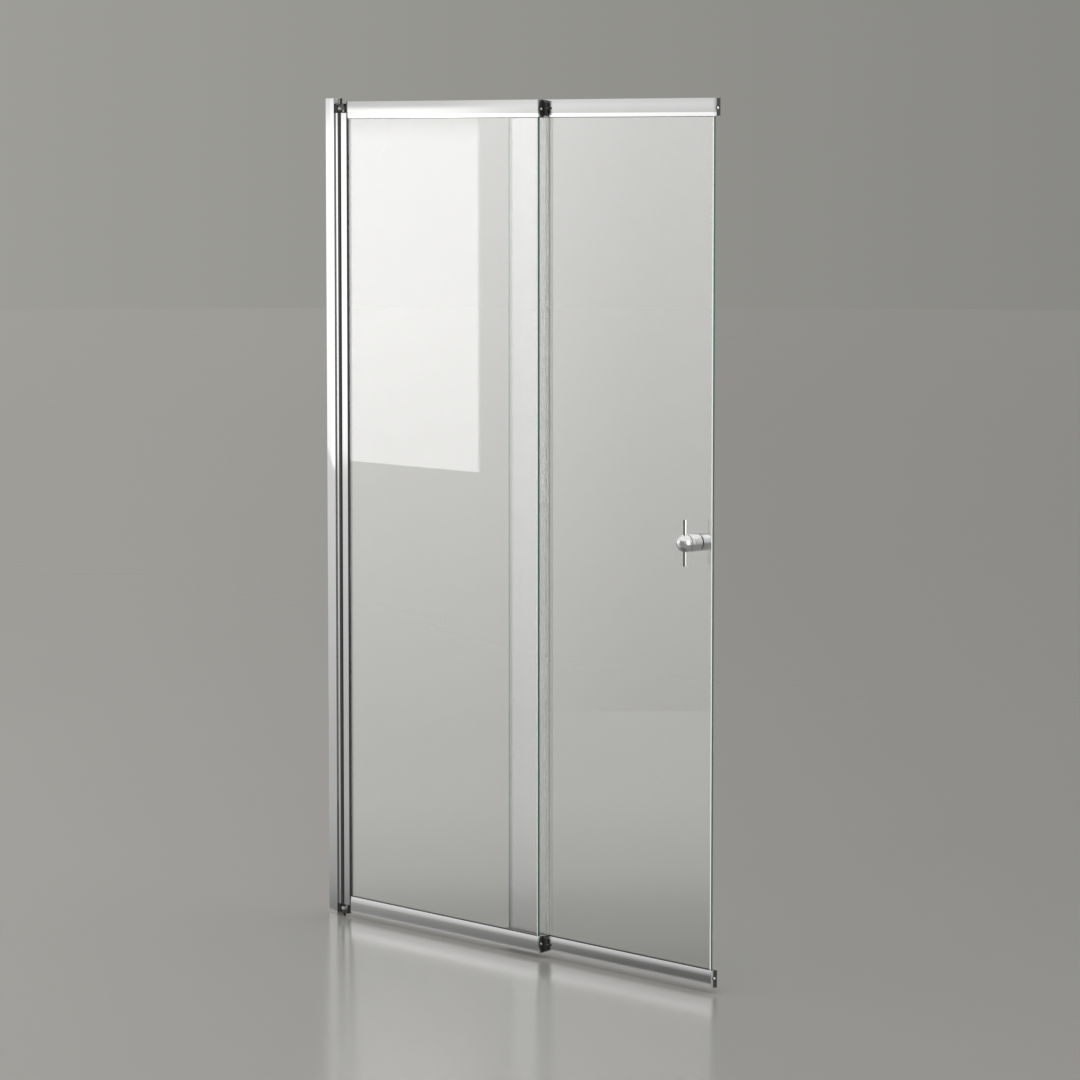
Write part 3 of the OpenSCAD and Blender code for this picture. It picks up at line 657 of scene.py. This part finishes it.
def aim(mesh, origin, axis):
    """Turns what stands on the Z axis onto an axis through origin."""
    turn = Vector((0, 0, 1)).rotation_difference(Vector(axis)).to_matrix().to_4x4()
    bmesh.ops.transform(mesh, matrix=Matrix.Translation(origin) @ turn, verts=mesh.verts)


def join(meshes):
    """One bmesh from several."""
    joined = bmesh.new()
    for single in meshes:
        part = bpy.data.meshes.new("part")
        single.to_mesh(part)
        single.free()
        joined.from_mesh(part)
        bpy.data.meshes.remove(part)
    return joined


def lathe(outline, origin, axis, steps=STEPS):
    """Spins an outline of (radius, height) pairs in metres about an axis through origin."""
    mesh = bmesh.new()
    points = [mesh.verts.new((radius, 0.0, height)) for radius, height in outline]
    sides = [mesh.edges.new(pair) for pair in zip(points, points[1:])]
    bmesh.ops.spin(
        mesh, geom=points + sides, cent=(0, 0, 0), axis=(0, 0, 1), angle=2 * pi,
        steps=steps, use_merge=True,
    )
    bmesh.ops.remove_doubles(mesh, verts=mesh.verts, dist=MERGE_DISTANCE / 2)
    aim(mesh, origin, axis)
    return mesh


# %% [markdown]
# The hinge pin is blackened steel with a domed head that stands up between the two stiles. Below
# it a light grey collar, a slice of a ball, keeps the arms apart.

# %% Hinge pins and collars
PIN_SHOULDER = 0.3 * MM
PIN_HEAD_HEIGHT = 3 * MM
COLLAR_BORE = 2.42 * MM
COLLAR_STEPS = 12


def hinge_pin(place, up):
    node = "hinge_pin_" + place
    low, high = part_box(node)
    middle = (low + high) / 2
    origin = Vector((middle.x, middle.y, low.z if up > 0 else high.z))
    length = high.z - low.z
    head_r = (high.x - low.x) / 2
    pin_r = head_r - PIN_SHOULDER
    head_foot = length - PIN_HEAD_HEIGHT
    outline = [(0, 0), *rounded(pin_r, 0, 0.4 * MM, 1)]
    outline += [(pin_r, head_foot), *rounded(head_r, head_foot, 0.2 * MM, 1)]
    outline += [*rounded(head_r, length, 1.2 * MM, 2, 8), (0, length)]
    mesh = lathe(outline, origin, (0, 0, up), steps=48)
    add_piece(node + "_turned", mesh, [finishes[finish_name[node]]], node)


def hinge_collar(place):
    node = "hinge_collar_" + place
    low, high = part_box(node)
    middle = (low + high) / 2
    outer = (high.x - low.x) / 2
    half = (high.z - low.z) / 2
    tilt = atan2(half, (outer * outer - half * half) ** 0.5)
    arc = [
        (outer * cos(a), outer * sin(a))
        for a in (tilt * (2 * i / COLLAR_STEPS - 1) for i in range(COLLAR_STEPS + 1))
    ]
    bore = [(COLLAR_BORE, half), (COLLAR_BORE, -half)]
    mesh = lathe([bore[1], *arc, *bore], middle, (0, 0, 1), steps=64)
    add_piece(node + "_turned", mesh, [finishes[finish_name[node]]], node)


hinge_pin("top", 1)
hinge_pin("bottom", -1)
hinge_collar("top")
hinge_collar("bottom")

# %% [markdown]
# The knob is a cylinder that ends in a ball of the same width. The cylinder's rim turns in to a
# narrow neck behind the ball, which draws the dark line that shows there, and a small round runs
# about its back edge. A cross bar is pushed through the middle of the ball. The inner knob is
# plainer, with a soft front edge and a shallow dish. Both are bored for the stud through the glass.

# %% Knob, inner knob and cross bar
STUD_BORE = 4.05 * MM
KNOB_BORE_DEPTH = 13 * MM
INNER_BORE_DEPTH = 12 * MM
NECK_BACK = 5.5 * MM
NECK_GROOVE = 1.1 * MM
NECK_LIP = 0.3 * MM
RIM_GAP = 0.1 * MM
BALL_STEPS = 40
DISH_RIM = 2.5 * MM
DISH_FOOT = 3.2 * MM
DISH_DEPTH = 0.4 * MM


def knob_body():
    low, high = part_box("knob_body")
    middle = (low + high) / 2
    radius = (high.x - low.x) / 2
    ball_height = high.y - low.y - radius
    neck_height = ball_height - NECK_BACK
    neck_r = (radius * radius - NECK_BACK * NECK_BACK) ** 0.5
    outline = [(STUD_BORE, KNOB_BORE_DEPTH), (STUD_BORE, 0), *rounded(radius, 0, 0.6 * MM, 1)]
    outline += rounded(radius, neck_height - RIM_GAP, 0.7 * MM, 2)
    outline.append((neck_r - NECK_GROOVE, neck_height))
    start = -atan2(NECK_BACK - NECK_LIP, neck_r)
    for i in range(BALL_STEPS + 1):
        angle = start + (pi / 2 - start) * i / BALL_STEPS
        outline.append((radius * max(cos(angle), 0.0), ball_height + radius * sin(angle)))
    mesh = lathe(outline, Vector((middle.x, high.y, middle.z)), (0, -1, 0), steps=128)
    add_piece("knob_body_turned", mesh, [finishes["chrome"]], "knob_body")


def inner_knob():
    low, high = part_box("inner_knob")
    middle = (low + high) / 2
    radius = (high.x - low.x) / 2
    length = high.y - low.y
    dish = length - DISH_DEPTH
    outline = [(STUD_BORE, INNER_BORE_DEPTH), (STUD_BORE, 0), *rounded(radius, 0, 0.5 * MM, 1)]
    outline += [*rounded(radius, length, 1.0 * MM, 2, 7)]
    outline += [(radius - DISH_RIM, length), (radius - DISH_FOOT, dish), (0, dish)]
    mesh = lathe(outline, Vector((middle.x, low.y, middle.z)), (0, 1, 0), steps=128)
    add_piece("inner_knob_turned", mesh, [finishes["chrome"]], "inner_knob")


def cross_bar():
    low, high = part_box("knob_cross_bar")
    middle = (low + high) / 2
    radius = (high.x - low.x) / 2
    length = high.z - low.z
    outline = [(0, 0), *rounded(radius, 0, 0.8 * MM, 1, 6)]
    outline += [*rounded(radius, length, 0.8 * MM, 2, 6), (0, length)]
    mesh = lathe(outline, Vector((middle.x, middle.y, low.z)), (0, 0, 1), steps=48)
    add_piece("knob_cross_bar_turned", mesh, [bar_chrome_painted_light], "knob_cross_bar")


knob_body()
inner_knob()
cross_bar()

# %% [markdown]
# Rubber washers keep the metal off the glass. Their rims bulge a little under the screw's pull, so
# the outline is rounded on both sides. The rubber buffers on the guide noses are made the same way.

# %% Washers and buffers
BULGE = 0.45


def washer(node, forward):
    low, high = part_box(node)
    middle = (low + high) / 2
    radius = (high.x - low.x) / 2
    thick = high.y - low.y
    origin = Vector((middle.x, low.y if forward > 0 else high.y, middle.z))
    outline = [(STUD_BORE, 0), *rounded(radius, 0, thick * BULGE, 1)]
    outline += [*rounded(radius, thick, thick * BULGE, 2), (STUD_BORE, thick), (STUD_BORE, 0)]
    mesh = lathe(outline, origin, (0, forward, 0))
    add_piece(node + "_turned", mesh, [finishes["seal_rubber"]], node)


def buffer_tips():
    low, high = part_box("buffer_tips")
    radius = (high.y - low.y) / 2
    length = high.x - low.x
    outline = [(0, 0), *rounded(radius, 0, 0.3 * MM, 1)]
    outline += [*rounded(radius, length, 0.7 * MM, 2), (0, length)]
    both = join([
        lathe(outline, Vector((low.x, low.y + radius, z)), (1, 0, 0), steps=32)
        for z in (low.z + radius, high.z - radius)
    ])
    add_piece("buffer_tips_turned", both, [finishes["seal_rubber"]], "buffer_tips")


washer("knob_washer", -1)
washer("inner_knob_washer", 1)
buffer_tips()

# %% [markdown]
# ## Screws
#
# The end caps are held by small socket screws: in the photograph a black ring with a light middle.
# A socket head is a turned button whose top is joined to a six-sided hole, so the outline stops at
# the hole's rim, a circle of six points is bridged to it, and that hexagon is pushed down and
# closed.

# %% Socket screws
SHANK_R = 1.48 * MM
SHANK_LENGTH = 14 * MM
HEAD_R = 2.4 * MM
HEAD_HEIGHT = 1.6 * MM
SOCKET_R = 0.9 * MM
SOCKET_RIM = 1.12 * SOCKET_R
SOCKET_DEPTH = 0.6 * MM
SOCKET_CHAMFER = 0.1 * MM
SOCKET_STEPS = 36
HINGED_MIDDLE = 0.3
SLIDING_MIDDLE = 0.74


def socket_screw(origin, axis):
    """A screw whose head stands on origin along axis, with its shank behind."""
    outline = [(0, -SHANK_LENGTH), (SHANK_R * 0.6, -SHANK_LENGTH)]
    outline += [(SHANK_R, -SHANK_LENGTH + SHANK_R * 0.5), (SHANK_R, 0), (HEAD_R, 0)]
    outline += [*rounded(HEAD_R, HEAD_HEIGHT, HEAD_HEIGHT * 0.5, 2), (SOCKET_RIM, HEAD_HEIGHT)]
    mesh = lathe(outline, Vector((0, 0, 0)), (0, 0, 1), steps=SOCKET_STEPS)
    edge_of_hole = [e for e in mesh.edges if e.is_boundary]
    lift = Matrix.Translation((0, 0, HEAD_HEIGHT - SOCKET_CHAMFER))
    hexagon = bmesh.ops.create_circle(mesh, cap_ends=False, radius=SOCKET_R, segments=6, matrix=lift)
    six = list({e for v in hexagon["verts"] for e in v.link_edges})
    bmesh.ops.bridge_loops(mesh, edges=edge_of_hole + six)
    pushed = bmesh.ops.extrude_edge_only(mesh, edges=six)["geom"]
    floor_verts = [v for v in pushed if isinstance(v, bmesh.types.BMVert)]
    bmesh.ops.translate(mesh, vec=(0, 0, -SOCKET_DEPTH), verts=floor_verts)
    floor_edges = [e for e in pushed if isinstance(e, bmesh.types.BMEdge)]
    bmesh.ops.contextual_create(mesh, geom=[e for e in floor_edges if e.is_boundary])
    aim(mesh, origin, axis)
    return mesh


def islands(node):
    """The boxes of the separate solids in a CAD node, as pairs of corners."""
    mesh = merged_copy(node)
    left = set(mesh.verts)
    boxes = []
    while left:
        todo = [left.pop()]
        found = []
        while todo:
            vert = todo.pop()
            found.append(vert.co.copy())
            for edge in vert.link_edges:
                other = edge.other_vert(vert)
                if other in left:
                    left.discard(other)
                    todo.append(other)
        low = Vector([min(p[i] for p in found) for i in range(3)])
        high = Vector([max(p[i] for p in found) for i in range(3)])
        boxes.append((low, high))
    mesh.free()
    return boxes


def cap_screws(node, panel_middle):
    """End cap screws along X, with their heads away from the x of their panel's middle."""
    made = []
    for low, high in islands(node):
        middle = (low + high) / 2
        outward = 1 if middle.x > panel_middle else -1
        middle.x = high.x - HEAD_HEIGHT if outward > 0 else low.x + HEAD_HEIGHT
        made.append(socket_screw(middle, (outward, 0, 0)))
    add_piece(node + "_turned", join(made), [finishes["steel"]], node)
    print(node, "made:", len(made))


cap_screws("hinged_cap_screws", HINGED_MIDDLE)
cap_screws("sliding_cap_screws", SLIDING_MIDDLE)

# %% [markdown]
# ## The panes
#
# The two sheets are toughened safety glass. Each copy of the frame's sheet gets a flat ground
# bevel on every corner, and each of its faces gets its finish by the way it points: the two wide
# faces along Y, the rims and the hole's wall across it, and the slanted arrises between. Near its
# rear end two narrow strips are cut in the faces and painted: the first with the edge's green, a
# painted refraction of the edge, and the second with a half-clear green, a painted reflection of it.

# %% Panes
FACE, EDGE, SLANT, PAINTED_REFLECTION = 0, 1, 2, 3
ALONG_Y = 0.99
ACROSS_Y = 0.1
PAINTED_REFRACTION_BAND = 3 * MM
PAINTED_REFLECTION_BAND = 7 * MM
HINGED_ARRIS = 0.6 * MM
SLIDING_ARRIS = 1.3 * MM


def pane(node, arris):
    """arris is the width of the ground bevel on the sheet's corners."""
    mesh = merged_copy(node)
    rear_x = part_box(node)[0].x
    ease(mesh, arris, 1, least_angle=60)
    # Two strips near the rear end carry painted light: a painted refraction of the edge, then a painted
    # reflection of it.
    for cut in (PAINTED_REFRACTION_BAND, PAINTED_REFLECTION_BAND):
        bmesh.ops.bisect_plane(
            mesh, geom=[*mesh.verts, *mesh.edges, *mesh.faces],
            plane_co=(rear_x + cut, 0, 0), plane_no=(1, 0, 0),
        )
    mesh.normal_update()
    for face in mesh.faces:
        facing = abs(face.normal.y)
        inward = face.calc_center_median().x - rear_x
        if facing <= ACROSS_Y:
            face.material_index = EDGE
        elif facing <= ALONG_Y:
            face.material_index = SLANT
        # The first strip is painted with the edge's green and the second with a half-clear green:
        # painted refraction and painted reflection.
        elif inward < PAINTED_REFRACTION_BAND:
            face.material_index = EDGE
        elif inward < PAINTED_REFLECTION_BAND:
            face.material_index = PAINTED_REFLECTION
        else:
            face.material_index = FACE
    piece = add_piece(
        node + "_pane", mesh, [finishes["clear_glass"], glass_edge, glass_arris_painted_glow, painted_edge_reflection], node
    )
    for polygon in piece.data.polygons:
        polygon.use_smooth = False
    print(node, "faces:", len(piece.data.polygons))


pane("hinged_glass", HINGED_ARRIS)
pane("sliding_glass", SLIDING_ARRIS)

# %% [markdown]
# ## The solids that stay
#
# A few solids are right as they are: rods, set screws and the long bead of the hinge. They keep
# their mesh and only get their finish.

# %% Dress what is left
for node, ob in frame["nodes"].items():
    ob.data.materials.clear()
    ob.data.materials.append(finishes[finish_name[node]])
print("solids dressed:", len(frame["nodes"]))

# %% [markdown]
# ## The studio
#
# The floor is a wide disc of slightly glossy grey vinyl that ends some thirty metres away, as the
# faint line across the photograph does. Behind it the world is a plain wall colour, a little
# lighter to the left. Both are dull, so the object's own light isn't changed by them.

# %% Floor
FLOOR_RADIUS = 28.0
floor_z = cad_box[0][2]
room_right = (cos(CAMERA_YAW), sin(CAMERA_YAW), 0.0)
FLOOR_FADE = (-1.2, 1.4)
FLOOR_DARK = (0.250, 0.247, 0.238)
FLOOR_LIGHT = (0.322, 0.319, 0.307)
CLOUD_SHARE = 0.08


def stage_piece(name, mesh, material):
    """A mesh of the studio, which isn't part of the object."""
    data = bpy.data.meshes.new(name)
    mesh.to_mesh(data)
    mesh.free()
    data.materials.append(material)
    piece = bpy.data.objects.new(name, data)
    scene.collection.objects.link(piece)
    return piece


def floor_pattern(start):
    cloud = noise(start, (0.9, 0.9, 0.9), detail=2.0)
    place = start.node("TexCoord", output="Object")
    # Painted light: the floor is painted lighter to the left and darker to the right, a painted pool of
    # light, with a little random cloud in its tone.
    painted_light_pool = fade(start, along(start, place, room_right), *FLOOR_FADE, 1.0, 0.0, smooth=True)
    light = painted_light_pool * (1 - CLOUD_SHARE) + cloud * CLOUD_SHARE
    return {
        "Base Color": tint(start, light, FLOOR_DARK, FLOOR_LIGHT),
        "Roughness": 0.17 + (cloud - 0.5) * 0.03,
    }


floor_mesh = bmesh.new()
bmesh.ops.create_circle(
    floor_mesh, cap_ends=True, radius=FLOOR_RADIUS, segments=128,
    matrix=Matrix.Translation((0, 0, floor_z)),
)
stage_piece("studio_floor", floor_mesh, finish("floor_vinyl", {"IOR": 1.45}, floor_pattern))

# %% [markdown]
# The world gives the wall colour. Its direction is compared with two fixed directions in the room,
# so that the wall is lighter to the left of the photograph, and lighter still beyond the free end
# of the screen, where the small bright parts mirror it. Above them is a white ceiling.

# %% World
WALL_TINT = (1.0, 0.99, 0.93)
WALL_LEFT = shaded(WALL_TINT, 0.358)
WALL_RIGHT = shaded(WALL_TINT, 0.232)
WALL_FADE = (-0.25, 0.25)
FRONT_WALL = (0.70, 0.695, 0.68)
FRONT_FADE = (0.5, 0.9)
CEILING = (1.30, 1.295, 1.27)
CEILING_FADE = (sin(radians(22)), sin(radians(42)))
room_front = (0.994, -0.113, 0.0)

world = bpy.data.worlds.new("studio_wall")
world.use_nodes = True
scene.world = world
world.node_tree.nodes.clear()
room = Wire(world.node_tree)
direction = room.node("TexCoord", output="Generated")
is_right = fade(room, along(room, direction, room_right), *WALL_FADE, smooth=True)
is_front = fade(room, along(room, direction, room_front), *FRONT_FADE, smooth=True)
height = room.node("SeparateXYZ", None, {0: direction}, output="Z")
is_above = fade(room, height, *CEILING_FADE, smooth=True)
walls = tint(room, is_front, tint(room, is_right, WALL_LEFT, WALL_RIGHT), FRONT_WALL)
room_colour = tint(room, is_above, walls, CEILING)
wall = room.node("Background", None, {"Color": room_colour, "Strength": 1.0})
world_output = world.node_tree.nodes.new("ShaderNodeOutputWorld")
world.node_tree.links.new(wall.socket, world_output.inputs["Surface"])

# %% [markdown]
# Soft lights stand round the object. A tall scrim to the left of the screen is what the glass
# mirrors, and it gives the panes their fade from white to grey. A softbox before it shows as the
# brighter rectangle in the hinged pane. They are flat panels that glow on one side and let light
# pass from the other, and the camera never sees them straight. The white ceiling of the world
# lights the floor.

# %% Helpers for light panels
WARM_WHITE = (1.0, 0.992, 0.988)


def graded(start, value, levels, white):
    """A colour and a strength of light, from stops of a value and the level there."""
    peak = max(level for _, level in levels)
    first, last = levels[0][0], levels[-1][0]
    stops = [
        ((at - first) / (last - first), (*shaded(white, level / peak), 1.0))
        for at, level in levels
    ]
    colour = start.node("ValToRGB", {"stops": stops}, {"Fac": fade(start, value, first, last)})
    return colour, peak


def one_sided(start, colour, strength):
    """Light from the front of a face, and nothing at all on its back."""
    back = start.node("NewGeometry", output="Backfacing")
    light = start.node("Emission", None, {"Color": colour, "Strength": strength})
    return start.node("MixShader", None, {0: back, 1: light, 2: start.node("BsdfTransparent")})


def glow(name, levels, side=None):
    """A material that glows by the height, from stops of a height and the level there. side is an
    axis, the two places along it between which the light changes, and its shares at those."""
    material, start = blank(name)
    place = start.node("TexCoord", output="Object")
    height = start.node("SeparateXYZ", None, {0: place}, output="Z")
    colour, strength = graded(start, height, levels, WARM_WHITE)
    if side:
        axis, places, shares = side
        strength = fade(start, along(start, place, axis), *places, *shares, smooth=True) * strength
    show(one_sided(start, colour, strength))
    return material


def glowing_face(name, corners, material):
    """A flat face that shows in reflections and never to the camera."""
    mesh = bmesh.new()
    mesh.faces.new([mesh.verts.new(corner) for corner in corners])
    panel = stage_piece(name, mesh, material)
    panel.visible_camera = False
    return panel


def light_panel(name, first, second, levels, side=None):
    """An upright panel between two plan points, as high as its levels go. It is lit to the right
    of the way from first to second."""
    low_z, high_z = levels[0][0], levels[-1][0]
    glowing_face(name, [
        (point[0], point[1], z)
        for point, z in ((first, low_z), (second, low_z), (second, high_z), (first, high_z))
    ], glow(name + "_glow", levels, side))
    print(name, "from", round(low_z, 3), "to", round(high_z, 3), "m")


# %% [markdown]
# The scrim stands square to the direction in which the panes mirror the camera. Its level at each
# height is what the pane has to show there, divided by the share of light that glass mirrors.

# %% Scrim
MIRRORED = Vector((-0.743, -0.669, 0.0))
ALONG_SCRIM = Vector((0.669, -0.743, 0.0))
SCREEN_MIDDLE = Vector((0.5, 0.0, 0.0))
SCRIM_DISTANCE = 3.1
SCRIM_HALF = 2.0
SCRIM_LEVELS = ((floor_z, 0.82), (0.80, 1.70), (1.3, 1.45), (2.6, 1.4))
SCRIM_FADE = (-0.1, 0.35)
SCRIM_SHARES = (1.0, 0.86)
scrim_middle = SCREEN_MIDDLE + MIRRORED * SCRIM_DISTANCE
scrim_side = scrim_middle.dot(ALONG_SCRIM)
light_panel(
    "left_scrim",
    scrim_middle + ALONG_SCRIM * SCRIM_HALF, scrim_middle - ALONG_SCRIM * SCRIM_HALF, SCRIM_LEVELS,
    (ALONG_SCRIM, [scrim_side + place for place in SCRIM_FADE], SCRIM_SHARES),
)

# %% [markdown]
# Below the scrim the panes mirror the floor before it, which is lit much brighter there than round
# the object. A glowing card on the floor, seen only in mirror images, stands for that. It fades
# towards the panes as the bright zone does in the photograph.

# %% Floor card
CARD_PLAN = ((1.3, -0.034), (-0.3, -0.034), (-2.34, -1.48), (-1.0, -2.97), (0.93, -1.23))
CARD_RISE = 1 * MM
CARD_WHITE = (1.0, 1.0, 0.99)
CARD_LEVELS = (
    (-0.35, 0.15), (-0.05, 0.175), (0.09, 0.25), (0.22, 0.28), (0.38, 0.33), (0.52, 0.40), (0.66, 0.49),
    (0.82, 0.56), (1.0, 0.60), (1.3, 0.67), (1.67, 0.74), (SCRIM_DISTANCE, 0.81),
)


def card_glow():
    """A material that glows by the distance from the screen's middle towards the scrim."""
    material, start = blank("card_glow")
    place = start.node("TexCoord", output="Object")
    distance = along(start, place, MIRRORED) - SCREEN_MIDDLE.dot(MIRRORED)
    show(one_sided(start, *graded(start, distance, CARD_LEVELS, CARD_WHITE)))
    return material


card = glowing_face("floor_card", [(x, y, floor_z + CARD_RISE) for x, y in CARD_PLAN], card_glow())
card.visible_diffuse = False
card.visible_shadow = False
print("floor card:", round(card.data.polygons[0].area, 2), "square metres")

# %% [markdown]
# The softbox fills the upper part of the hinged pane. It is dimmer beyond the pane's hinge side,
# where only the wall profile and the stiles mirror it, and above, where the rails do.

# %% Softbox
SOFTBOX_Y = -1.4
SOFTBOX_X = (-2.25, -1.207)
SOFTBOX_LEVELS = ((-0.077, 1.97), (0.30, 2.22), (0.68, 2.36), (0.75, 1.65), (0.82, 1.25), (2.4, 1.2))
SOFTBOX_FADE = (-1.71, -1.66)
SOFTBOX_SHARES = (0.88, 1.0)
light_panel(
    "left_softbox", (SOFTBOX_X[1], SOFTBOX_Y), (SOFTBOX_X[0], SOFTBOX_Y), SOFTBOX_LEVELS,
    ((1.0, 0.0, 0.0), SOFTBOX_FADE, SOFTBOX_SHARES),
)

# %% [markdown]
# A weak fill behind the object serves the views from the back. A narrow softbox to the right of
# the camera lights the right side of the knob's bar and the ground arrises.

# %% Fill and right softbox
light_panel("rear_fill", (1.2, 3.2), (3.2, 1.2), ((floor_z, 0.5), (1.4, 1.15)))
light_panel("right_softbox", (3.9, 1.9), (4.1, -1.1), ((floor_z, 1.8), (2.2, 2.3)))

# %% [markdown]
# ## Closing
#
# The colours are shown as they are written, with the Standard view.

# %% Colour view
scene.view_settings.view_transform = "Standard"
bpy.context.view_layer.update()
